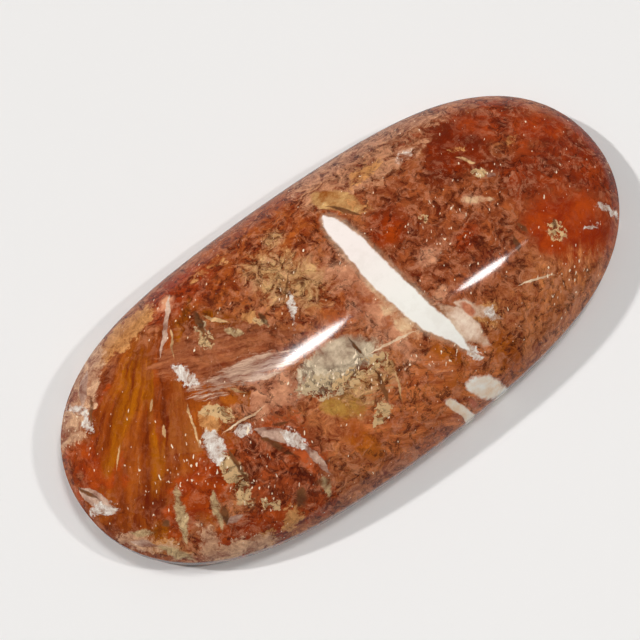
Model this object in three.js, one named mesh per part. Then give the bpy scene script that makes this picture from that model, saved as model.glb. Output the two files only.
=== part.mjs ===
// A hand-ground oval cabochon: one piece of quartz filled with pyrophyllite, with a flat back,
// a low upright girdle and a polished dome. Millimetres, +Z up. The origin is the middle of the
// flat back, +X runs along the stone towards its red end, and the dome looks up.
import * as THREE from "three";

// Driving dimensions
const length = 50; // over the two ends, along X
const thickness = 7; // flat back to crown
const girdleTop = 1.8; // height at which the dome starts
const backBevel = 0.45; // the ground bevel round the flat back, the same inwards and upwards

// The oval outline, with two sides that the grinding left a little different.
// lean makes a side wider towards +X, and waist makes it wider at both ends than in the middle.
const endFullness = 5; // the higher, the longer a side stays parallel
const endRoundness = 2.13; // 2 is an elliptical end, more is squarer
const farSide = { width: 11.6, lean: -0.008, waist: -0.18 }; // the +Y side
const nearSide = { width: 12.2, lean: -0.015, waist: -0.23 }; // the -Y side

// The dome's section, from crown to girdle
const crownFlatness = 2.2; // 2 is a round crown, more is flatter
const shoulderFullness = 1.9; // 2 is an elliptical shoulder
const shoulderReach = 0.988; // under 1, the dome meets the girdle at a crease

// Mesh fineness
const outlineSteps = 120;
const domeRings = 22;

// Half the width of one side at a share of the way from the middle (0) to an end (-1 or 1)
function halfWidth(side, share) {
  const oval = (1 - Math.abs(share) ** endFullness) ** (1 / endRoundness);
  return side.width * oval * (1 + side.lean * share + side.waist * share ** 2);
}

// The outline's points anticlockwise from the +X end, moved so that their box is centred
function outlinePoints() {
  const points = [];
  for (let i = 0; i < outlineSteps; i++) {
    const share = Math.cos((2 * Math.PI * i) / outlineSteps);
    const onFarSide = i < outlineSteps / 2;
    const y = onFarSide ? halfWidth(farSide, share) : -halfWidth(nearSide, share);
    points.push(new THREE.Vector2((share * length) / 2, y));
  }
  const centre = new THREE.Box2().setFromPoints(points).getCenter(new THREE.Vector2());
  return points.map((point) => point.sub(centre));
}

// Height of the dome at a share of the way from crown (0) to girdle (1)
function domeHeight(share) {
  const section = (s) => (1 - (s * shoulderReach) ** crownFlatness) ** (1 / shoulderFullness);
  const atGirdle = section(1);
  return girdleTop + ((thickness - girdleTop) * (section(share) - atGirdle)) / (1 - atGirdle);
}

// One level of the stone: the outline shrunk to a share of its size, then set in by a distance
function ring(outline, share, inset, height) {
  return outline.map((point) => {
    const shrunk = point.clone().multiplyScalar(share);
    shrunk.setLength(shrunk.length() - inset);
    return new THREE.Vector3(shrunk.x, shrunk.y, height);
  });
}

// Every level from the flat back up to just under the crown
function stoneRings(outline) {
  const rings = [ring(outline, 1, backBevel, 0), ring(outline, 1, 0, backBevel)];
  for (let i = 0; i < domeRings; i++) {
    const share = Math.cos((0.5 * Math.PI * i) / domeRings); // levels crowd towards the girdle
    rings.push(ring(outline, share, 0, domeHeight(share)));
  }
  return rings;
}

// A closed skin over the rings, with a fan of triangles at each end
function skinOver(rings, bottom, top) {
  const steps = rings[0].length;
  const points = [bottom, ...rings.flat(), top];
  const last = points.length - 1;
  const faces = [];
  for (let i = 0; i < steps; i++) {
    const next = (i + 1) % steps;
    faces.push(0, 1 + next, 1 + i);
    for (let level = 0; level + 1 < rings.length; level++) {
      const low = 1 + level * steps;
      const high = low + steps;
      faces.push(low + i, low + next, high + next);
      faces.push(low + i, high + next, high + i);
    }
    faces.push(last - steps + i, last - steps + next, last);
  }
  const skin = new THREE.BufferGeometry().setFromPoints(points);
  skin.setIndex(faces);
  skin.computeVertexNormals();
  return skin;
}

function makeCabochon() {
  const rings = stoneRings(outlinePoints());
  const middleOfBack = new THREE.Vector3(0, 0, 0);
  const crown = new THREE.Vector3(0, 0, thickness);
  const polishedStone = new THREE.MeshStandardMaterial({
    color: 0x9c4526, // brick red pyrophyllite in quartz
    roughness: 0.12,
    metalness: 0,
  });
  const mesh = new THREE.Mesh(skinOver(rings, middleOfBack, crown), polishedStone);
  mesh.name = "cabochon";
  return mesh;
}

const stone = new THREE.Group();
stone.add(makeCabochon());

export default stone;
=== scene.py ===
import math
import bmesh
import bpy
from mathutils import Matrix, Vector, noise


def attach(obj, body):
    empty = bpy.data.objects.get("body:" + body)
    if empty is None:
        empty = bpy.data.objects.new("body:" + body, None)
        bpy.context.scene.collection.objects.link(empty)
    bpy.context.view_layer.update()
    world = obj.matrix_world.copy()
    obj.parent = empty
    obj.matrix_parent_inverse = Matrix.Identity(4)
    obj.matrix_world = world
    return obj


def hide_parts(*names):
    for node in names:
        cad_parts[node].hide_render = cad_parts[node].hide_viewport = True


# A polished oval cabochon of quartz grown through with red pyrophyllite, lying on its flat
# back on a pale table. Object space is the part's frame, and sizes below are in millimetres.
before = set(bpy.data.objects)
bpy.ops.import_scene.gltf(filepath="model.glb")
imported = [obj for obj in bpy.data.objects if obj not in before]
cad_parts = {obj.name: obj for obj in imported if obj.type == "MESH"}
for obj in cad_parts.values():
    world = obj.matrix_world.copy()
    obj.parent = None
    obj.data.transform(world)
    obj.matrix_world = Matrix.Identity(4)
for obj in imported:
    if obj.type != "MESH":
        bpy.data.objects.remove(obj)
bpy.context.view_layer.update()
mm = 0.001
print("stage: frame loaded")


def linear(hexColour):
    # sRGB hex to linear, with an alpha of 1
    channels = [int(hexColour[i:i + 2], 16) / 255 for i in (0, 2, 4)]
    return tuple(c / 12.92 if c <= 0.04045 else ((c + 0.055) / 1.055) ** 2.4 for c in channels) + (1,)


def addNode(tree, kind, inputs=(), gives=0, **settings):
    # inputs come in the node's own order or by their keys, and gives names the output handed
    # back (with None, the node itself); a Mix node's colours are its inputs 6 and 7
    new = tree.nodes.new("ShaderNode" + kind)
    for name, value in settings.items():
        setattr(new, name, value)
    for key, value in inputs.items() if isinstance(inputs, dict) else enumerate(inputs):
        if isinstance(value, bpy.types.NodeSocket):
            tree.links.new(value, new.inputs[key])
        else:
            new.inputs[key].default_value = value
    return new if gives is None else new.outputs[gives]


def newMaterial(name):
    material = bpy.data.materials.new(name)
    material.use_nodes = True
    material.node_tree.nodes.clear()
    return material


def addToScene(name, data):
    placed = bpy.data.objects.new(name, data)
    bpy.context.scene.collection.objects.link(placed)
    return placed


def addMesh(name, built):
    mesh = bpy.data.meshes.new(name)
    built.to_mesh(mesh)
    built.free()
    return addToScene(name, mesh)


# The stone's form, the same values as the solid it stands for
stoneForm = {
    "length": 50,
    "thickness": 7,
    "girdleTop": 1.8,
    "backBevel": 0.45,
    "endFullness": 5,
    "endRoundness": 2.13,
    "farSide": (11.6, -0.008, -0.18),  # width, lean, waist
    "nearSide": (12.2, -0.015, -0.23),
    "crownFlatness": 2.2,
    "shoulderFullness": 1.9,
    "shoulderReach": 0.988,
    "edgeWear": 0.1,  # how far the polish has rounded each edge
    "edgeSteps": 4,
    "handPolish": 0.03,  # depth of the flat spots that polishing by hand leaves
    "handPolishSize": 7,  # distance between those spots
    "handPolishRise": (0.1, 1.5),  # above the girdle, where they begin and where they are full
    "outlineSteps": 320,
    "domeRings": 96,
}


def halfWidth(side, share):
    width, lean, waist = side
    oval = (1 - abs(share) ** stoneForm["endFullness"]) ** (1 / stoneForm["endRoundness"])
    return width * oval * (1 + lean * share + waist * share ** 2)


def outlinePoints():
    steps = stoneForm["outlineSteps"]
    points = []
    for i in range(steps):
        share = math.cos(2 * math.pi * i / steps)
        if i < steps / 2:
            y = halfWidth(stoneForm["farSide"], share)
        else:
            y = -halfWidth(stoneForm["nearSide"], share)
        points.append((share * stoneForm["length"] / 2, y))
    middle = (max(p[1] for p in points) + min(p[1] for p in points)) / 2
    return [Vector((x, y - middle)) for x, y in points]


def domeHeight(share):
    # from the crown (0) to the girdle (1)
    def section(s):
        fall = (s * stoneForm["shoulderReach"]) ** stoneForm["crownFlatness"]
        return (1 - fall) ** (1 / stoneForm["shoulderFullness"])
    atGirdle = section(1)
    rise = (section(share) - atGirdle) / (1 - atGirdle)
    return stoneForm["girdleTop"] + (stoneForm["thickness"] - stoneForm["girdleTop"]) * rise


outline = outlinePoints()


def domeSpot(x, y):
    # the point of the dome above a place on the back
    bearing = math.atan2(y, x)
    edge = min(outline, key=lambda p: abs(math.remainder(math.atan2(p.y, p.x) - bearing, 2 * math.pi)))
    return Vector((x, y, domeHeight(math.hypot(x, y) / edge.length)))


def wornCorner(before, corner, after):
    # a small curve in place of a sharp corner of the section
    start = corner + (before - corner).normalized() * stoneForm["edgeWear"]
    end = corner + (after - corner).normalized() * stoneForm["edgeWear"]
    steps = [i / stoneForm["edgeSteps"] for i in range(stoneForm["edgeSteps"] + 1)]
    return [start * (1 - t) ** 2 + corner * 2 * t * (1 - t) + end * t ** 2 for t in steps]


def stoneSection():
    # (share of the outline, distance set in, height) from the back's edge up to near the crown
    bevel, girdle = stoneForm["backBevel"], stoneForm["girdleTop"]
    onBack, backEdge = Vector((3, 0)), Vector((bevel, 0))
    girdleFoot, girdleHead = Vector((0, bevel)), Vector((0, girdle))
    onDome = Vector((0.25, domeHeight(0.98)))
    edges = wornCorner(onBack, backEdge, girdleFoot)
    edges += wornCorner(backEdge, girdleFoot, girdleHead)
    edges += wornCorner(girdleFoot, girdleHead, onDome)
    section = [(1, inset, height) for inset, height in edges]
    rings = stoneForm["domeRings"]
    leastRise = 0.02
    for i in range(1, rings):
        share = math.cos(0.5 * math.pi * i / rings)
        if domeHeight(share) > edges[-1].y + leastRise:
            section.append((share, 0, domeHeight(share)))
    return section


def handPolished(x, y, height):
    # how deep polishing by hand went at a spot
    begins, full = stoneForm["handPolishRise"]
    above = height - stoneForm["girdleTop"]
    if above <= begins:
        return 0
    wave = noise.noise(Vector((x, y * 1.4, 3)) / stoneForm["handPolishSize"])
    return stoneForm["handPolish"] * min(1, above / full) * (0.5 + 0.5 * wave)


def makeStone():
    built = bmesh.new()
    levels = []
    for share, inset, height in stoneSection():
        level = []
        for point in outline:
            spot = point * share
            spot = spot * (1 - inset / spot.length)
            z = height - handPolished(spot.x, spot.y, height)
            level.append(built.verts.new(Vector((spot.x, spot.y, z)) * mm))
        levels.append(level)
    backMiddle = built.verts.new((0, 0, 0))
    crown = built.verts.new((0, 0, (stoneForm["thickness"] - stoneForm["handPolish"] / 2) * mm))
    steps = len(outline)
    for i in range(steps):
        j = (i + 1) % steps
        built.faces.new((backMiddle, levels[0][j], levels[0][i]))
        for low, high in zip(levels, levels[1:]):
            built.faces.new((low[i], low[j], high[j], high[i]))
        built.faces.new((levels[-1][i], levels[-1][j], crown))
    piece = addMesh("cabochonSkin", built)
    piece.data.shade_smooth()
    return piece


stone = makeStone()
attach(stone, "root")
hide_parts("cabochon")
print("stage: stone shaped")

# What grew in the quartz, in the order in which one hides another; two of the pale entries are
# wholly or partly painted reflections. Each mineral's colour runs from dark to light along its
# grain. Each of its patches is given by where its middle shows on the dome (x, y), its half length
# and half width, the turn of its length in degrees, how softly its rim ends, and how much it hides.
# Blades end in two points, wedges in one, and other patches are oval. The more bite, the more the
# grain breaks up a rim, and soft blurs it.
redMinerals = [
    {"name": "brown crumbs of the red end", "dark": "6e1e09", "light": "cc6a36", "grain": "crumbs",
     "bite": 0.7, "soft": 0.4, "patches": [
         (9.5, 0.5, 5.6, 5.4, 0, 0.45, 1), (14.0, -1.0, 2.6, 2.6, 0, 0.55, 0.8)]},
    {"name": "rusty crumbs over the middle", "dark": "852407", "light": "d26c2a", "grain": "crumbs",
     "patches": [
         (-2.2, 8.4, 7.0, 2.8, 0, 0.55, 1), (-0.6, 1.2, 1.5, 2.4, 0, 0.55, 0.8)]},
    {"name": "deep red", "dark": "6a1a04", "light": "983105", "grain": "clouds", "bite": 0.4,
     "soft": 0.45, "patches": [
         (15.2, 6.0, 3.2, 2.4, 20, 0.5, 1), (13.2, 4.7, 2.0, 1.4, 10, 0.55, 0.9),
         (15.6, 3.3, 3.3, 0.9, -40, 0.6, 0.8), (16.6, 2.4, 1.2, 2.6, 0, 0.6, 0.6),
         (7.2, 2.2, 1.4, 1.2, 30, 0.6, 0.5)]},
    {"name": "red clouds", "dark": "7d1d04", "light": "b74717", "grain": "clouds", "bite": 0.4,
     "soft": 0.45, "patches": [
         (19.6, 5.6, 3.4, 1.9, -38, 0.55, 0.9), (18.8, 0.4, 3.2, 2.4, 0, 0.6, 0.9),
         (22.6, -0.6, 2.6, 4.2, 8, 0.6, 1), (6.4, 3.4, 1.6, 1.6, 0, 0.55, 0.8),
         (-7.4, 2.4, 1.6, 1.2, -30, 0.55, 0.7)]},
    {"name": "clear red", "dark": "992802", "light": "c1490d", "grain": "clouds", "bite": 0.4,
     "soft": 0.4, "patches": [
         (17.6, -4.4, 2.8, 2.6, -18, 0.4, 1), (18.6, -6.6, 3.0, 1.2, 18, 0.6, 1),
         (21.4, 3.2, 2.2, 1.1, -14, 0.55, 0.9), (22.8, -1.6, 1.8, 1.4, 50, 0.55, 0.8),
         (5.8, 3.0, 1.2, 0.9, 20, 0.55, 0.8), (12.4, 8.6, 0.9, 0.5, 0, 0.55, 0.7),
         (10.6, -1.2, 1.2, 0.7, 30, 0.6, 0.8), (-10.4, 9.4, 2.4, 1.5, 30, 0.55, 0.9),
         (-8.2, 9.2, 1.8, 1.6, 0, 0.6, 0.8)]},
    {"name": "hatched brown of the red end's near side", "dark": "8e3012", "light": "f89a58",
     "grain": "hatch", "bite": 1.1, "soft": 0.5, "patches": [
         (14.6, -8.7, 4.2, 1.9, 6, 0.6, 0.85)]},
    {"name": "pink crumbs along the far rim", "dark": "80331c", "light": "eeaa7c",
     "grain": "crumbs", "bite": 1.1, "soft": 0.4, "patches": [
         (11.6, 9.8, 4.0, 1.3, -8, 0.6, 0.9), (7.4, 9.4, 4.2, 2.2, -4, 0.6, 1),
         (11.0, 7.4, 2.4, 0.5, 4, 0.55, 0.8)]},
    {"name": "olive sand", "dark": "a05c2a", "light": "fac888", "grain": "crumbs", "bite": 1.0,
     "soft": 0.5, "patches": [
         (-2.3, 4.3, 2.9, 1.9, -62, 0.5, 0.85), (-3.0, -6.2, 2.2, 1.5, -14, 0.5, 1),
         (-1.2, 8.0, 0.9, 0.8, 10, 0.55, 0.7), (-0.5, -5.9, 1.0, 0.4, 76, 0.5, 0.9),
         (-1.9, -9.6, 0.55, 0.4, -30, 0.4, 0.9)]},
    {"name": "red streaks of the near side", "dark": "9c330f", "light": "f4904e",
     "grain": "streaks", "bite": 0.8, "soft": 0.35, "patches": [
         (0.8, -9.4, 6.4, 2.6, -8, 0.5, 1)]},
    {"name": "dull salmon", "dark": "a24420", "light": "fab286", "grain": "clouds", "bite": 0.8,
     "soft": 0.3, "patches": [
         (1.4, -0.6, 1.5, 5.2, 0, 0.55, 0.8), (-8.4, -2.4, 2.4, 1.5, -20, 0.55, 1),
         (12.9, 1.1, 0.7, 0.4, -50, 0.45, 1), (15.0, -9.0, 1.0, 0.5, 40, 0.55, 0.6),
         (7.2, -0.4, 1.2, 0.8, 0, 0.55, 0.6), (6.4, -3.9, 1.0, 0.7, 10, 0.55, 0.8)]},
    {"name": "clear salmon", "dark": "d07e54", "light": "fcdaaa", "grain": "clouds", "bite": 0.8,
     "soft": 0.4, "patches": [
         (2.9, -1.7, 2.7, 0.85, 85, 0.5, 0.95), (13.2, 0.9, 1.1, 0.22, -35, 0.5, 0.8)]},
    {"name": "amber fan of the left end", "dark": "731903", "light": "c26118", "grain": "fan",
     "patches": [
         (-18.0, 1.4, 7.6, 5.6, 42, 0.45, 1), (-11.2, 6.2, 1.6, 0.9, 30, 0.55, 1)]},
    {"name": "brick clouds of the left end", "dark": "922704", "light": "ca5414", "grain": "clouds",
     "patches": [
         (-22.4, 2.2, 1.6, 2.4, 20, 0.6, 0.8), (-14.0, -9.4, 4.6, 1.3, -12, 0.55, 1),
         (-17.2, -4.4, 3.0, 1.6, 12, 0.55, 0.9), (-19.6, 6.2, 1.7, 0.5, 14, 0.55, 0.9)]},
    {"name": "golden fibres", "dark": "8b3702", "light": "c66d05", "grain": "fan", "form": "blades",
     "bite": 0.7, "soft": 0.5, "patches": [
         (-17.2, 4.9, 5.6, 1.0, 38, 0.5, 1), (-20.8, 2.0, 2.2, 0.8, 38, 0.55, 0.8),
         (-15.9, 3.9, 3.2, 0.5, 53, 0.4, 0.9), (-18.2, -0.4, 3.6, 0.8, 50, 0.55, 0.8),
         (-8.1, 4.9, 2.2, 0.6, -61, 0.45, 1), (-21.3, -4.7, 0.9, 0.7, 0, 0.45, 1),
         (-10.9, 6.6, 2.2, 0.5, 40, 0.45, 0.8)]},
    {"name": "dark fibres", "dark": "601c03", "light": "b75010", "grain": "fan", "form": "blades",
     "bite": 0.7, "soft": 0.4, "patches": [
         (-15.1, 3.3, 4.4, 0.55, 53, 0.4, 1), (-12.8, 6.2, 3.0, 0.8, 46, 0.5, 0.9),
         (-17.9, 1.6, 2.6, 0.4, 50, 0.45, 0.8), (-18.6, 6.6, 2.4, 0.45, 30, 0.45, 0.8),
         (-22.2, -1.0, 2.2, 0.5, 60, 0.55, 0.7), (-20.4, -2.0, 2.4, 0.4, 56, 0.5, 0.7),
         (-10.6, 5.9, 2.6, 0.5, 46, 0.45, 0.8), (-19.6, 3.9, 2.8, 0.3, 40, 0.5, 0.7)]},
    {"name": "tawny leaf", "dark": "933b0d", "light": "c06b2a", "grain": "fan", "form": "wedges",
     "bite": 0.25, "soft": 0.08, "patches": [
         (-14.8, 1.4, 3.3, 1.45, 61, 0.1, 1), (-11.1, -0.5, 1.3, 0.6, 142, 0.2, 1)]},
    {"name": "dusty streaks", "dark": "7d2d11", "light": "ca784a", "grain": "streaks",
     "form": "blades", "bite": 0.8, "patches": [
         (-9.4, 2.6, 6.2, 2.4, -27, 0.3, 1), (-9.0, -7.6, 2.2, 0.8, -78, 0.35, 1),
         (-11.6, 4.4, 1.5, 0.7, -20, 0.35, 0.9)]},
    {"name": "dark crumbs under the streaks", "dark": "561204", "light": "d3612d", "grain": "crumbs",
     "patches": [
         (-11.2, -6.4, 2.8, 3.2, 20, 0.45, 1)]},
    {"name": "orange clouds", "dark": "9d3b05", "light": "d2701f", "grain": "clouds", "bite": 1.3,
     "soft": 0.6, "patches": [
         (-5.2, -8.2, 1.8, 0.8, -77, 0.55, 1), (7.9, -10.0, 1.5, 0.9, 84, 0.5, 1),
         (4.1, -7.5, 1.4, 0.55, -54, 0.55, 1), (2.6, -9.0, 1.6, 0.6, -10, 0.55, 0.6),
         (-11.1, -0.5, 1.0, 0.5, -38, 0.3, 1)]},
    {"name": "yellow ochre", "dark": "a85f18", "light": "daa652", "grain": "clouds", "bite": 1.3,
     "soft": 0.6, "patches": [
         (-4.1, -6.4, 1.1, 0.6, -77, 0.5, 1), (-5.4, -5.7, 1.4, 0.65, -58, 0.5, 1)]},
]
# the paler ones lie over those, and over the seams between their crumbs
paleMinerals = [
    {"name": "amber wedge", "dark": "a15619", "light": "ebba79", "grain": "clouds", "bite": 0.5,
     "patches": [
         (4.5, 7.7, 2.0, 0.85, -58, 0.35, 1)]},
    {"name": "grey quartz", "dark": "735640", "light": "efd8b6", "grain": "crumbs", "bite": 0.9,
     "soft": 0.45, "patches": [
         (-3.5, -3.2, 3.1, 1.35, -9, 0.35, 1)]},
    {"name": "smooth grey quartz", "dark": "94745c", "light": "ead2b2", "grain": "clouds",
     "bite": 0.4, "soft": 0.35, "patches": [
         (-2.6, -2.5, 1.8, 0.85, -12, 0.4, 1)]},
    {"name": "peppered quartz", "dark": "34241a", "light": "d8ba92", "grain": "shards", "bite": 1.0,
     "soft": 0.35, "patches": [
         (-5.0, -3.8, 1.9, 0.75, -24, 0.45, 0.9), (-9.8, 5.0, 0.45, 1.0, -18, 0.5, 0.8)]},
    {"name": "beige quartz", "dark": "ab602c", "light": "f5af6b", "grain": "crumbs", "patches": [
         (-14.6, 9.3, 2.6, 1.0, 9, 0.45, 1), (-15.6, -9.9, 1.0, 0.35, -16, 0.55, 0.8),
         (-12.9, -10.3, 0.9, 0.55, 10, 0.55, 0.9), (-21.9, -5.7, 2.6, 0.45, -50, 0.45, 0.8),
         (-6.3, 3.9, 0.6, 0.5, 10, 0.55, 0.9), (-13.4, -0.9, 1.1, 0.7, 72, 0.4, 1),
         (14.8, 5.4, 0.6, 0.28, 0, 0.55, 0.6), (18.7, 3.7, 0.4, 0.3, 10, 0.55, 0.7),
         (8.4, -6.8, 0.95, 0.75, -20, 0.5, 1), (7.6, 8.3, 1.6, 0.6, 8, 0.55, 0.7),
         (-6.6, 9.2, 1.6, 0.6, 5, 0.6, 0.5), (5.6, 6.2, 1.0, 0.35, -50, 0.55, 0.6)]},
    {"name": "pink beige quartz of the rim", "dark": "9c4e30", "light": "f4c298", "grain": "crumbs",
     "bite": 0.8, "soft": 0.3, "patches": [
         (-19.2, 8.0, 2.8, 1.1, 40, 0.4, 1), (-21.5, 6.2, 1.5, 1.1, 34, 0.45, 1),
         (-22.4, 5.2, 0.9, 0.5, -32, 0.5, 0.9), (-23.0, -4.4, 1.3, 0.5, -55, 0.5, 0.9),
         (-18.8, -7.9, 1.4, 0.6, 80, 0.5, 0.9), (-17.2, -9.4, 2.4, 0.5, -27, 0.5, 0.95),
         (-21.3, -6.6, 1.6, 0.35, -54, 0.5, 0.8)]},
    {"name": "milky lobe beside the vein", "dark": "d0946e", "light": "ffe8d0", "grain": "clouds",
     "form": "blades", "bite": 0.5, "soft": 0.25, "patches": [
         (6.2, -6.2, 2.3, 1.0, -72, 0.35, 1), (7.8, -6.0, 1.9, 0.55, -51, 0.4, 0.9)]},
    {"name": "rose spots", "dark": "c85a38", "light": "fbae82", "grain": "clouds", "bite": 0.6,
     "soft": 0.3, "patches": [
         (7.3, -5.6, 0.6, 0.32, -66, 0.5, 0.9), (3.6, -11.1, 0.6, 0.25, -62, 0.4, 0.9),
         (-10.6, 9.0, 0.8, 0.5, 30, 0.5, 0.6)]},
    {"name": "green cream sand", "dark": "5d4121", "light": "e7bc87", "grain": "shards",
     "bite": 1.1, "soft": 0.35, "patches": [
         (-14.5, -5.2, 1.9, 0.55, 83, 0.5, 1), (-13.5, -8.4, 0.7, 0.3, -40, 0.5, 0.8),
         (-3.0, -8.0, 0.9, 0.35, 30, 0.55, 1), (-2.4, -4.6, 1.9, 0.45, -8, 0.55, 0.8),
         (14.7, 2.6, 0.45, 0.3, -8, 0.5, 1), (16.9, -4.3, 0.75, 0.5, -80, 0.5, 0.9),
         (9.0, 2.1, 0.2, 0.22, 0, 0.6, 1), (-12.6, -0.8, 1.1, 0.42, -46, 0.45, 0.9),
         (-10.0, 4.6, 0.75, 0.42, -75, 0.45, 0.9), (-6.1, 2.9, 0.5, 0.3, -75, 0.45, 0.8)]},
    {"name": "broken cream splinters", "dark": "7e4c24", "light": "efcc98", "grain": "crumbs",
     "form": "blades", "bite": 1.0, "soft": 0.4, "patches": [
         (-19.2, -4.8, 1.7, 0.42, 62, 0.45, 1), (-16.9, -6.2, 1.1, 0.34, 64, 0.5, 0.9),
         (-21.2, -6.8, 1.5, 0.28, -54, 0.5, 1), (-22.4, -4.1, 1.0, 0.24, -33, 0.5, 1),
         (-8.0, 3.5, 0.8, 0.3, -47, 0.5, 1), (-9.4, -9.8, 1.0, 0.34, 70, 0.5, 0.7)]},
    {"name": "cream splinters", "dark": "8a4e27", "light": "fccb91", "grain": "clouds",
     "form": "blades", "bite": 0.5, "patches": [
         (-8.6, 5.4, 1.3, 0.16, -56, 0.45, 0.8), (14.7, 4.2, 0.9, 0.2, -58, 0.55, 0.5),
         (-19.6, 0.2, 1.6, 0.12, 55, 0.55, 0.5), (-14.6, -0.1, 2.2, 0.1, 69, 0.5, 0.7),
         (-20.5, 1.4, 1.0, 0.1, 48, 0.55, 0.6), (-16.3, 2.9, 0.5, 0.12, 49, 0.5, 1),
         (-16.7, 0.8, 0.5, 0.16, 61, 0.5, 1), (-12.3, 5.8, 1.3, 0.12, 60, 0.5, 0.9),
         (-10.5, -0.2, 0.8, 0.12, -55, 0.55, 0.9), (-0.7, -7.3, 1.7, 0.09, 68, 0.5, 0.7)]},
    # partly the stone's own silky fibres, partly a painted reflection: the glint's pale streaked tail
    # painted into the colour
    {"name": "silky quartz with the glint's painted reflection", "dark": "8a3e28", "light": "eec8aa",
     "grain": "streaks", "form": "blades", "bite": 1.2, "soft": 0.3, "patches": [
         (-8.6, 0.4, 4.0, 0.8, -20, 0.6, 0.9), (-11.8, 1.2, 2.0, 0.8, -24, 0.6, 0.6)]},
    {"name": "lilac quartz", "dark": "8c462e", "light": "f4d0b6", "grain": "clouds",
     "form": "blades", "bite": 0.35, "soft": 0.12, "patches": [
         (-19.6, 7.7, 1.6, 0.4, 48, 0.35, 0.9), (-23.8, 0.1, 1.9, 0.55, -72, 0.35, 0.9),
         (-10.1, -4.7, 1.8, 0.55, -52, 0.25, 0.9), (-8.8, -7.6, 2.0, 0.36, -80, 0.35, 0.7),
         (-11.8, 7.5, 2.7, 0.22, 48, 0.4, 1), (15.4, 2.0, 0.4, 0.26, 0, 0.45, 0.9),
         (-16.3, -7.6, 0.9, 0.4, -9, 0.5, 0.6), (-22.6, -4.9, 1.2, 0.3, -48, 0.45, 0.7)]},
    {"name": "white quartz", "dark": "a8704c", "light": "fffaf0", "grain": "crumbs", "bite": 0.9,
     "soft": 0.4, "patches": [
         (-23.7, -0.8, 0.75, 0.36, -26, 0.4, 1), (-14.4, -2.7, 1.15, 0.65, 77, 0.4, 1),
         (-13.1, 3.2, 0.85, 0.36, -77, 0.4, 1), (-9.3, -5.6, 1.0, 0.4, -70, 0.35, 1),
         (-11.9, -3.0, 0.7, 0.35, -9, 0.5, 0.9), (-21.0, 6.5, 0.7, 0.32, -69, 0.5, 0.9),
         (-21.0, 5.1, 0.6, 0.3, 87, 0.5, 0.9), (-3.6, 2.4, 1.1, 0.22, 60, 0.55, 0.9),
         (21.7, -5.3, 0.7, 0.28, -51, 0.45, 1), (19.6, -5.5, 0.4, 0.18, -11, 0.5, 1),
         (5.7, -7.9, 0.7, 0.32, -83, 0.5, 1), (8.7, -6.9, 0.6, 0.36, -76, 0.5, 0.9),
         (11.2, 7.5, 0.8, 0.4, 0, 0.55, 0.4)]},
    {"name": "cream quartz of the near rim", "dark": "f2d2b0", "light": "fffcf4", "grain": "clouds",
     "bite": 0.5, "soft": 0.25, "patches": [
         (2.5, -11.1, 0.85, 0.38, -57, 0.35, 1), (5.1, -10.8, 1.1, 0.75, -25, 0.35, 1)]},
    # painted reflections: three thin pale streaks painted where thin lamps would reflect in the polish
    {"name": "painted reflection streaks", "dark": "d49a70", "light": "f6d8b4", "grain": "clouds",
     "form": "blades", "bite": 0.2, "soft": 0.2, "patches": [
         (1.1, -4.3, 2.3, 0.1, -8, 0.4, 0.95), (-11.5, -2.3, 1.8, 0.1, -4, 0.4, 0.95),
         (13.1, -6.7, 1.6, 0.1, -16, 0.4, 0.9)]},
    {"name": "iron stains", "dark": "2a120a", "light": "9c6038", "grain": "clouds",
     "form": "blades", "bite": 0.8, "soft": 0.4, "patches": [
         (-20.6, -4.6, 0.35, 0.3, 0, 0.55, 0.8), (-16.7, -7.0, 0.75, 0.32, 63, 0.45, 0.9),
         (-11.4, -9.3, 0.6, 0.4, 40, 0.55, 0.8), (-9.7, 6.0, 0.95, 0.32, 79, 0.45, 0.95),
         (-5.7, 2.9, 0.85, 0.3, 80, 0.45, 0.95), (-1.7, -6.4, 1.2, 0.15, 77, 0.5, 0.9),
         (-2.8, -4.6, 1.0, 0.1, 20, 0.55, 0.6), (-10.5, -5.5, 1.5, 0.24, -66, 0.5, 0.85),
         (-9.6, -4.1, 0.7, 0.16, -27, 0.5, 0.85), (-9.2, -9.4, 0.7, 0.4, -30, 0.55, 0.6),
         (4.5, 6.5, 1.5, 0.18, -56, 0.45, 0.9), (17.1, -3.9, 0.5, 0.16, 52, 0.45, 0.8),
         (14.6, -2.9, 0.3, 0.6, 0, 0.55, 0.7), (13.5, -3.7, 0.8, 0.22, 77, 0.5, 0.8),
         (-3.0, 3.9, 1.2, 0.12, 44, 0.55, 0.7), (-1.5, -2.9, 1.0, 0.14, -88, 0.5, 0.9),
         (-13.9, -4.9, 1.6, 0.18, 84, 0.5, 0.8), (-24.0, 0.9, 1.2, 0.14, -68, 0.5, 0.7),
         (-20.1, 5.9, 1.3, 0.16, 58, 0.5, 0.7)]},
]
# where the stone is smooth and clear, with few seams
calmPatches = [
    (-17.6, 1.6, 7.4, 5.2, 42, 0.3, 0.9), (-9.4, 2.6, 3.6, 1.2, -27, 0.4, 0.6),
    (17.8, -4.6, 3.4, 3.2, 0, 0.3, 0.95), (2.1, -2.2, 1.0, 3.0, 4, 0.4, 0.8),
    (4.6, 8.0, 2.2, 1.1, -62, 0.3, 0.9), (15.4, 6.2, 3.0, 2.2, 10, 0.4, 0.7),
    (21.4, 3.0, 2.4, 2.0, -14, 0.4, 0.6), (-2.6, -2.2, 1.8, 0.8, -8, 0.3, 0.8),
    (-5.4, -6.8, 1.6, 2.4, 30, 0.4, 0.7), (-9.4, -6.0, 1.0, 2.4, 14, 0.4, 0.6),
]
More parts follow.
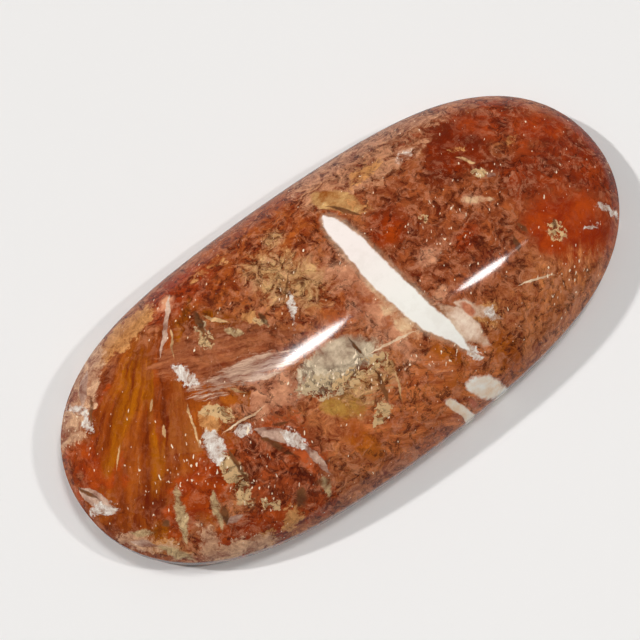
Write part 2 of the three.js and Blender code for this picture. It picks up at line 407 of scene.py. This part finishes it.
# where many painted glints show: bright specks painted where small crystal faces would flash
paintedGlintPatches = [
    (-17.2, -2.4, 1.8, 1.3, -20, 0.5, 1), (-15.2, -4.2, 1.2, 1.3, 0, 0.5, 0.8),
    (-13.2, -7.4, 2.2, 1.2, -20, 0.6, 0.8), (-3.6, 2.8, 0.5, 1.9, -30, 0.6, 1),
    (-5.6, -3.0, 1.8, 0.9, -8, 0.5, 1), (-3.0, -3.7, 1.6, 0.7, -8, 0.5, 1),
    (-16.4, -1.6, 1.2, 1.2, 0, 0.5, 1), (-2.0, -5.2, 1.6, 1.8, 0, 0.6, 0.7),
    (2.6, -6.6, 2.2, 1.2, -20, 0.6, 0.7), (14.9, 2.4, 0.8, 0.6, 40, 0.5, 1),
    (15.6, -7.8, 2.4, 1.4, 10, 0.6, 0.7), (-11.4, 7.0, 0.7, 2.4, -40, 0.6, 0.7),
    (-20.4, -3.0, 1.0, 2.6, -30, 0.6, 0.6), (-11.4, -3.2, 1.2, 0.6, -9, 0.5, 0.9),
    (10.0, 0.6, 2.6, 2.6, 0, 0.7, 0.4), (-22.0, 5.0, 1.2, 1.6, 0, 0.6, 0.6),
]
# The seams between the crumbs follow one folded noise. Clumps says on which crumbs they lie, and
# cover how much they hide where the stone is calm and where it is coarse.
seams = [
    {"name": "dark crevices", "colour": "4a1508", "middle": 0.5, "width": 0.055,
     "clumps": (0.6, 0.44), "cover": (0.0, 0.9)},
    {"name": "pale curls", "colour": "de9670", "middle": 0.52, "width": 0.075,
     "clumps": (0.44, 0.56), "cover": (0.02, 0.6)},
]
print("stage: minerals listed", len(redMinerals) + len(paleMinerals))

# The milky vein is a sheet of white quartz that wanders across the stone. Both curves are
# given at places along y, and the vein ends where its half width falls below zero.
whiteVein = {
    "ends": (-9, 9),
    "middle": [(-9, 5.8), (-8, 5.5), (-7.2, 5.3), (-6.5, 5.1), (-5.6, 4.75), (-4.7, 4.4),
               (-2.5, 3.85), (0.2, 3.5), (3.1, 3.2), (5.9, 3.05), (9, 3.0)],
    "halfWidth": [(-9, -0.5), (-8.3, -0.05), (-7.6, 0.3), (-6.5, 0.58), (-5.6, 0.76), (-4.7, 0.92),
                  (-2.5, 1.05), (0.2, 1.05), (3.1, 0.95), (5, 0.8), (6, 0.65), (7.0, 0.2),
                  (8, -0.6), (9, -0.7)],
    "edge": (-0.05, 0.14),  # mm inside its rim, where it begins and where it is full
    "whites": ("fffaf0", "fff2ea"),  # near side, far side
    "whitesMeet": (-2.5, 3.0),
    "cloud": "dcd0c0",
    "cloudCover": 0.18,
    "border": ("b8805a", "f2d8b8"),  # the stained quartz beside it, dark and light
    "borderEdge": (-0.5, 0.0),
    "borderCover": 0.55,
}

# Polished pyrophyllite in quartz: fibres and crumbs of brick red and amber mineral held in
# clear silica. The silica takes a wet polish, and the fibres and cracks below it break the
# colour up into grains and streaks; its bright flecks are painted glints. The ground back stays matt.
stoneFinish = {
    "ior": 1.545,  # quartz
    "insideRoughness": 0.5,
    "insideGloss": 0.12,  # low, since the grains lie in silica and not in air
    "polishRoughness": 0.07,
    "mattRoughness": 0.6,  # 600 grit on the back
    "polishStart": (0.25, 0.5),  # mm up, from matt to polished
    "ground": ("862b0e", "e28a50"),  # grains where no mineral is listed, dark and light
    "wanderSize": 2.6,  # mm between the bends of a patch's rim
    "wanderReach": (0.8, 0.8, 0.4),  # mm
    "crackleSize": 0.6,
    "crackleReach": (0.25, 0.25, 0.1),
    "crumbledWander": (0.8, 0.8, 0.2),  # more of both for crumbled grains
    "crumbledCrackle": (1.1, 1.1, 0.4),
    "cloudSize": 1.7,
    "crumbSize": 1.1,  # mm, the grains of the red end
    "sandSize": 0.3,
    "sandInCrumbs": 0.3,
    "sandInShards": 0.7,
    # mm along, across and down: the fibres show at a third of that width, since real ones are
    # finer and wouldn't show in the render
    "streakSize": (3.2, 0.42, 3.0),
    "streakTurn": -27,  # degrees
    "hatchSize": (1.6, 0.42, 3.0),
    "hatchTurn": 50,
    "fanRoot": (-8.5, 12.5, 0),  # where the amber fibres would meet
    "fanScale": (17, 0.18, 0.3),  # fibres to a radian, breaks to a mm outward, layers to a mm down
    "seamScale": 0.65,
    "calmShare": 0.1,  # how coarse the calm patches stay
    # painted glints: bright flecks painted into the colour where small crystal faces would catch light
    "paintedGlintSize": (0.46, 0.22, 0.3),  # mm along, across and down, small faces that lie one way
    "paintedGlintColour": "ffe8c8",
    "paintedGlintShow": (0.735, 0.79),  # the higher, the fewer
    "paintedGlintGain": 0.1,  # how much lower that is where they flash
    "relief": 0.6,  # mm, of the grains below the polish
    "reliefOfSand": 0.2,
    "reliefWhenCalm": 0.25,
    # milky quartz is smoother below the polish than the red crumbs
    "paleness": (0.15, 0.55),  # the blue in a red and in a milky colour
    "unevenness": (0.8, 0.12),  # of each
}


def stoneMaterial():
    finish = stoneFinish
    material = newMaterial("polishedPyrophylliteQuartz")
    tree = material.node_tree
    where = addNode(tree, "TexCoord", gives="Object")
    place = addNode(tree, "VectorMath", {0: where, "Scale": 1 / mm}, operation="SCALE")

    # three ways to read a place: straight, wandering, and crumbled
    wander = addNode(tree, "TexNoise", {
        "Vector": place, "Scale": 1 / finish["wanderSize"], "Detail": 3, "Roughness": 0.6}, "Color")
    crackle = addNode(tree, "TexNoise", {
        "Vector": place, "Scale": 1 / finish["crackleSize"], "Detail": 3, "Roughness": 0.7}, "Color")
    half = (0.5, 0.5, 0.5)
    wander = addNode(tree, "VectorMath", [wander, half], operation="SUBTRACT")
    crackle = addNode(tree, "VectorMath", [crackle, half], operation="SUBTRACT")

    def strayed(start, *steps):
        for step, reach in steps:
            start = addNode(tree, "VectorMath", [step, reach, start], operation="MULTIPLY_ADD")
        return start

    softPlace = strayed(place, (wander, finish["wanderReach"]), (crackle, finish["crackleReach"]))
    roughPlace = strayed(softPlace, (crackle, finish["crumbledCrackle"]),
                         (wander, finish["crumbledWander"]))

    # grains
    clouds = addNode(tree, "TexNoise", {
        "Vector": softPlace, "Scale": 1 / finish["cloudSize"], "Detail": 6, "Roughness": 0.66})
    clouds = addNode(tree, "MapRange", [clouds, 0.36, 0.64])
    clumps = addNode(tree, "TexNoise", {
        "Vector": softPlace, "Scale": 1 / finish["crumbSize"], "Detail": 6, "Roughness": 0.74,
        "Distortion": 1.1})
    sand = {"Vector": roughPlace, "Scale": 1 / finish["sandSize"]}
    sand = addNode(tree, "TexVoronoi", sand, "Color")
    sand = addNode(tree, "SeparateColor", [sand])
    crumbs = addNode(tree, "MapRange", [clumps, 0.38, 0.64, 0.0, 0.8])
    crumbs = addNode(tree, "Math", [sand, finish["sandInCrumbs"], crumbs], operation="MULTIPLY_ADD")

    def fibres(size, turn):
        lie = {"Vector": softPlace, "Rotation": (0, 0, math.radians(turn)), "Scale": size}
        lie = addNode(tree, "Mapping", lie, vector_type="TEXTURE")
        tone = {"Vector": lie, "Scale": 1, "Detail": 6, "Roughness": 0.74}
        return addNode(tree, "MapRange", [addNode(tree, "TexNoise", tone), 0.34, 0.66])

    def fanOfFibres():
        outward = addNode(tree, "VectorMath", [softPlace, finish["fanRoot"]], operation="SUBTRACT")
        x, y, z = addNode(tree, "SeparateXYZ", [outward], None).outputs
        nearer = addNode(tree, "Math", [y, -1], operation="MULTIPLY")
        bearing = addNode(tree, "Math", [x, nearer], operation="ARCTAN2")
        reach = addNode(tree, "VectorMath", [outward], "Value", operation="LENGTH")
        lie = [addNode(tree, "Math", [value, scale], operation="MULTIPLY")
               for value, scale in zip((bearing, reach, z), finish["fanScale"])]
        lie = addNode(tree, "CombineXYZ", lie)
        tone = {"Vector": lie, "Scale": 1, "Detail": 6, "Roughness": 0.64}
        return addNode(tree, "MapRange", [addNode(tree, "TexNoise", tone), 0.35, 0.65])

    streaks = fibres(finish["streakSize"], finish["streakTurn"])
    hatch = fibres(finish["hatchSize"], finish["hatchTurn"])
    fan = fanOfFibres()
    shards = addNode(tree, "Math", [sand, finish["sandInShards"], crumbs], operation="MULTIPLY_ADD")
    shards = addNode(tree, "MapRange", [shards, 0.35, 1.0])
    grains = {"clouds": clouds, "crumbs": crumbs, "streaks": streaks, "hatch": hatch, "fan": fan,
              "shards": shards}

    def patchShare(patch, start, form):
        # every patch dips its own way into the stone, so the back shows it somewhere else
        x, y, halfLong, halfWide, turn, edge, cover = patch
        turn = math.radians(turn)
        dip = 0.4 * math.sin(2.1 * x + 3.7 * y)
        lieAlong = (math.cos(turn) / halfLong, math.sin(turn) / halfLong, dip / halfLong)
        lieAcross = (-math.sin(turn) / halfWide, math.cos(turn) / halfWide, 0)
        away = addNode(tree, "VectorMath", [start, domeSpot(x, y)[:]], operation="SUBTRACT")
        along = addNode(tree, "VectorMath", [away, lieAlong], "Value", operation="DOT_PRODUCT")
        across = addNode(tree, "VectorMath", [away, lieAcross], "Value", operation="DOT_PRODUCT")
        if form == "ovals":
            rim = ((1 + edge) ** 2, (1 - edge) ** 2)
            across = addNode(tree, "Math", [across, across], operation="MULTIPLY")
        else:
            rim = (1 + edge, 1 - edge)
            across = addNode(tree, "Math", [across], operation="ABSOLUTE")
        if form == "wedges":
            off = addNode(tree, "Math", [across, 2, along], operation="MULTIPLY_ADD")
            back = addNode(tree, "Math", [along, -1], operation="MULTIPLY")
            off = addNode(tree, "Math", [off, back], operation="MAXIMUM")
        else:
            off = addNode(tree, "Math", [along, along, across], operation="MULTIPLY_ADD")
        return addNode(tree, "MapRange", [off, *rim, 0, cover])

    def patchesShare(patches, start, form="ovals"):
        share = patchShare(patches[0], start, form)
        for patch in patches[1:]:
            another = patchShare(patch, start, form)
            share = addNode(tree, "Math", [share, another], operation="MAXIMUM")
        return share

    def grow(colour, mineral):
        form, grain = mineral.get("form", "ovals"), grains[mineral["grain"]]
        crumbled = mineral["grain"] in ("crumbs", "shards") and form == "ovals"
        share = patchesShare(mineral["patches"], roughPlace if crumbled else softPlace, form)
        # the grain eats into the rim, and into all of a patch that hides little
        bite, soft = mineral.get("bite", 0.7), mineral.get("soft", 0.2)
        middle = (1 + bite) / 2
        bitten = addNode(tree, "Math", [grain, bite, share], operation="MULTIPLY_ADD")
        bitten = addNode(tree, "MapRange", [bitten, middle - soft, middle + soft],
                         interpolation_type="SMOOTHSTEP")
        fade = max(0.2, 2 * soft - 0.4)  # a soft patch fades from further in
        share = addNode(tree, "MapRange", [share, 0.02, fade])
        share = addNode(tree, "Math", [bitten, share], operation="MULTIPLY")
        own = {0: grain, 6: linear(mineral["dark"]), 7: linear(mineral["light"])}
        own = addNode(tree, "Mix", own, 2, data_type="RGBA")
        return addNode(tree, "Mix", {0: share, 6: colour, 7: own}, 2, data_type="RGBA")

    dark, light = (linear(tone) for tone in finish["ground"])
    colour = addNode(tree, "Mix", {0: crumbs, 6: dark, 7: light}, 2, data_type="RGBA")
    for mineral in redMinerals:
        colour = grow(colour, mineral)

    # seams between the crumbs
    calm = patchesShare(calmPatches, softPlace)
    coarse = addNode(tree, "MapRange", [calm, 1, 0, finish["calmShare"], 1])
    folds = addNode(tree, "TexNoise", {
        "Vector": roughPlace, "Scale": finish["seamScale"], "Detail": 3, "Roughness": 0.6,
        "Distortion": 0.6}, "Color")
    folds = addNode(tree, "SeparateColor", [folds], None).outputs
    for fold, seam in zip(folds, seams):
        off = addNode(tree, "Math", [fold, seam["middle"]], operation="SUBTRACT")
        off = addNode(tree, "Math", [off], operation="ABSOLUTE")
        share = addNode(tree, "MapRange", [off, seam["width"], 0])
        for limit in ([clumps, *seam["clumps"]], [coarse, 0, 1, *seam["cover"]]):
            limit = addNode(tree, "MapRange", limit)
            share = addNode(tree, "Math", [share, limit], operation="MULTIPLY")
        own = linear(seam["colour"])
        colour = addNode(tree, "Mix", {0: share, 6: colour, 7: own}, 2, data_type="RGBA")

    for mineral in paleMinerals:
        colour = grow(colour, mineral)

    # the milky vein
    acrossStone, alongVein = addNode(tree, "SeparateXYZ", [softPlace], None).outputs[0:2]
    veinStart, veinEnd = whiteVein["ends"]
    alongShare = addNode(tree, "MapRange", [alongVein, veinStart, veinEnd])

    def alongCurve(points, scale):
        # a curve node holds values from -1 to 1, so they are divided by scale and multiplied back
        line = addNode(tree, "FloatCurve", {"Value": alongShare}, None)
        line.mapping.use_clip = False
        curve = line.mapping.curves[0]
        spots = [((y - veinStart) / (veinEnd - veinStart), value / scale) for y, value in points]
        curve.points[0].location = spots[0]
        curve.points[1].location = spots[-1]
        for spot in spots[1:-1]:
            curve.points.new(*spot)
        line.mapping.update()
        return addNode(tree, "Math", [line.outputs[0], scale], operation="MULTIPLY")

    veinMiddle = alongCurve(whiteVein["middle"], 10)
    veinHalf = alongCurve(whiteVein["halfWidth"], 2)
    off = addNode(tree, "Math", [acrossStone, veinMiddle], operation="SUBTRACT")
    off = addNode(tree, "Math", [off], operation="ABSOLUTE")
    inside = addNode(tree, "Math", [veinHalf, off], operation="SUBTRACT")
    border = addNode(tree, "MapRange", [inside, *whiteVein["borderEdge"], 0, whiteVein["borderCover"]],
                     interpolation_type="SMOOTHSTEP")
    core = addNode(tree, "MapRange", [inside, *whiteVein["edge"]], interpolation_type="SMOOTHSTEP")
    dark, light = (linear(tone) for tone in whiteVein["border"])
    own = addNode(tree, "Mix", {0: clouds, 6: dark, 7: light}, 2, data_type="RGBA")
    colour = addNode(tree, "Mix", {0: border, 6: colour, 7: own}, 2, data_type="RGBA")
    near, far = (linear(tone) for tone in whiteVein["whites"])
    share = addNode(tree, "MapRange", [alongVein, *whiteVein["whitesMeet"]])
    milk = addNode(tree, "Mix", {0: share, 6: near, 7: far}, 2, data_type="RGBA")
    share = addNode(tree, "MapRange", [clouds, 0.5, 0, 0, whiteVein["cloudCover"]])
    own = linear(whiteVein["cloud"])
    milk = addNode(tree, "Mix", {0: share, 6: milk, 7: own}, 2, data_type="RGBA")
    colour = addNode(tree, "Mix", {0: core, 6: colour, 7: milk}, 2, data_type="RGBA")

    # painted glints: bright flecks painted into the colour where a crystal face would catch light
    lie = {"Vector": place, "Rotation": (0, 0, math.radians(finish["hatchTurn"])),
           "Scale": finish["paintedGlintSize"]}
    lie = addNode(tree, "Mapping", lie, vector_type="TEXTURE")
    paintedGlints = addNode(tree, "TexNoise", {"Vector": lie, "Scale": 1, "Detail": 1, "Roughness": 0.5})
    paintedGlintPlaces = patchesShare(paintedGlintPatches, softPlace)
    paintedGlintPlaces = addNode(tree, "Math", [paintedGlintPlaces, core], operation="SUBTRACT")
    paintedGlints = addNode(tree, "Math", [paintedGlintPlaces, finish["paintedGlintGain"], paintedGlints], operation="MULTIPLY_ADD")
    share = addNode(tree, "MapRange", [paintedGlints, *finish["paintedGlintShow"]])
    own = linear(finish["paintedGlintColour"])
    colour = addNode(tree, "Mix", {0: share, 6: colour, 7: own}, 2, data_type="RGBA")

    # relief of the grains below the polish
    relief = addNode(tree, "Math", [sand, finish["reliefOfSand"], clumps], operation="MULTIPLY_ADD")
    share = addNode(tree, "MapRange", [coarse, 0, 1, finish["reliefWhenCalm"], 1])
    relief = addNode(tree, "Math", [relief, share], operation="MULTIPLY")
    blue = addNode(tree, "SeparateColor", [colour], 2)
    uneven = addNode(tree, "MapRange", [blue, *finish["paleness"], *finish["unevenness"]])
    facets = addNode(tree, "Bump", {
        "Height": relief, "Strength": uneven, "Distance": finish["relief"] * mm})
    height = addNode(tree, "SeparateXYZ", [place], 2)
    polished = addNode(tree, "MapRange", [height, *finish["polishStart"]])
    roughness = addNode(tree, "MapRange", [
        polished, 0, 1, finish["mattRoughness"], finish["insideRoughness"]])
    surface = addNode(tree, "BsdfPrincipled", {
        "Base Color": colour, "Roughness": roughness, "IOR": finish["ior"],
        "Specular IOR Level": finish["insideGloss"], "Normal": facets, "Coat Weight": polished,
        "Coat Roughness": finish["polishRoughness"], "Coat IOR": finish["ior"]})
    addNode(tree, "OutputMaterial", [surface], None)
    return material


stone.data.materials.append(stoneMaterial())
print("stage: stone finished")

# Matt white card: soft, with no gloss, a touch warm and faintly clouded
tableTop = {
    "size": 1600,
    "tones": ("efedeb", "f3f1ef"),
    "cloudSize": 1000 / 9,
    "roughness": 0.9,
    "gloss": 0.1,
}


def makeTable():
    built = bmesh.new()
    bmesh.ops.create_grid(built, x_segments=8, y_segments=8, size=tableTop["size"] / 2 * mm)
    piece = addMesh("tableTop", built)
    card = newMaterial("mattWhiteCard")
    tree = card.node_tree
    where = addNode(tree, "TexCoord", gives="Object")
    cloud = {"Vector": where, "Scale": 1 / (tableTop["cloudSize"] * mm), "Detail": 2}
    cloud = addNode(tree, "TexNoise", cloud)
    darker, lighter = (linear(tone) for tone in tableTop["tones"])
    colour = addNode(tree, "Mix", {0: cloud, 6: darker, 7: lighter}, 2, data_type="RGBA")
    surface = addNode(tree, "BsdfPrincipled", {
        "Base Color": colour, "Roughness": tableTop["roughness"],
        "Specular IOR Level": tableTop["gloss"]})
    addNode(tree, "OutputMaterial", [surface], None)
    piece.data.materials.append(card)
    return piece


table = makeTable()
table.visible_glossy = False  # the polish sees the dimmer table of the room below

cameraView = {
    "azimuth": -37.003,
    "elevation": 75,
    "distance": 141.237,
    "lens": 100,
    "frame": 640,  # pixels, in which the next two are given
    "stoneRight": 27.817,  # how far the middle of the back lies from the picture's middle
    "stoneBelow": 8.724,
}


def fromBearing(azimuth, elevation):
    a, e = math.radians(azimuth), math.radians(elevation)
    return Vector((math.sin(a) * math.cos(e), -math.cos(a) * math.cos(e), math.sin(e)))


towardsCamera = fromBearing(cameraView["azimuth"], cameraView["elevation"])
camera = addToScene("camera", bpy.data.cameras.new("camera"))
camera.data.lens = cameraView["lens"]
camera.data.sensor_width = 36
camera.data.clip_start = 5 * mm
camera.data.shift_x = -cameraView["stoneRight"] / cameraView["frame"]
camera.data.shift_y = cameraView["stoneBelow"] / cameraView["frame"]
camera.location = towardsCamera * cameraView["distance"] * mm
camera.rotation_euler = towardsCamera.to_track_quat("Z", "Y").to_euler()
bpy.context.scene.camera = camera

# These light the stone and the table and don't show in the polish. The first two throw the
# photo's two shadows. The angle is how wide a lamp looks from the stone, in degrees.
lamps = {
    "upperLeft": {"towards": (-0.689, 0.725), "elevation": 37.1, "strength": 1.77, "angle": 3.0},
    "right": {"towards": (0.88, -0.475), "elevation": 39.1, "strength": 0.84, "angle": 3.5},
    "behind": {"towards": (0.92, 0.39), "elevation": 66, "strength": 0.96, "angle": 14},
    "wholeRoom": {"towards": (0.0, 1.0), "elevation": 88, "strength": 0.6, "angle": 150},
}
# the polish sees nothing bright above it, so the colours stay deep, and below it a dim table
room = {"below": 0.34, "colour": "fefefe", "horizon": (-0.1, 0.0)}
# each glint is a small lamp that only shows as a reflection: where it lies on the dome, its size
# seen from the stone, in degrees, and its strength; two in one place give a soft rim
glints = [
    {"at": (-4.2, -0.8), "size": (11.0, 3.3), "strength": 9.0},
    {"at": (-4.0, -0.8), "size": (9.0, 2.0), "strength": 16.0},
    {"at": (-7.4, -0.3), "size": (9.0, 3.0), "strength": 1.8},
    {"at": (9.8, -4.0), "size": (10.5, 3.3), "strength": 16.0},
    {"at": (9.8, -4.0), "size": (8.5, 2.4), "strength": 24.0},
    {"at": (13.4, -3.9), "size": (8.0, 0.6), "strength": 4.0},
]
glintDistance = 400


def addLamp(name, lamp):
    flat = Vector(lamp["towards"]).normalized()
    up = math.radians(lamp["elevation"])
    towards = Vector((flat.x * math.cos(up), flat.y * math.cos(up), math.sin(up)))
    light = bpy.data.lights.new(name, "SUN")
    light.energy = lamp["strength"]
    light.angle = math.radians(lamp["angle"])
    placed = addToScene(name, light)
    placed.rotation_euler = towards.to_track_quat("Z", "Y").to_euler()
    placed.visible_glossy = False


def addGlint(name, glint):
    x, y = glint["at"]
    spot = domeSpot(x, y)
    step = 0.8  # mm to either side, which tells how the dome lies there
    alongX = domeSpot(x + step, y) - domeSpot(x - step, y)
    alongY = domeSpot(x, y + step) - domeSpot(x, y - step)
    up = alongX.cross(alongY).normalized()
    sight = (camera.location / mm - spot).normalized()
    bounce = 2 * up.dot(sight) * up - sight
    long, wide = (2 * glintDistance * math.tan(math.radians(a / 2)) * mm for a in glint["size"])
    light = bpy.data.lights.new(name, "AREA")
    light.shape = "ELLIPSE"
    light.size, light.size_y = long, wide
    light.energy = glint["strength"] * long * wide * math.pi
    placed = addToScene(name, light)
    placed.location = (spot + bounce * glintDistance) * mm
    across = (Vector((1, 0, 0)) - bounce * bounce.x).normalized()
    placed.rotation_euler = Matrix((across, bounce.cross(across), bounce)).transposed().to_euler()
    placed.visible_diffuse = False


for name, lamp in lamps.items():
    addLamp(name, lamp)
for number, glint in enumerate(glints):
    addGlint("glint%d" % number, glint)

world = bpy.data.worlds.new("paleRoom")
bpy.context.scene.world = world
world.use_nodes = True
tree = world.node_tree
tree.nodes.clear()
towards = addNode(tree, "TexCoord", gives="Generated")
height = addNode(tree, "SeparateXYZ", [towards], 2)
shine = addNode(tree, "MapRange", [height, *room["horizon"], room["below"], 0])
backdrop = addNode(tree, "Background", [linear(room["colour"]), shine])
addNode(tree, "OutputWorld", [backdrop], None)
bpy.context.scene.view_settings.view_transform = "Standard"
print("stage: table, light and camera set")
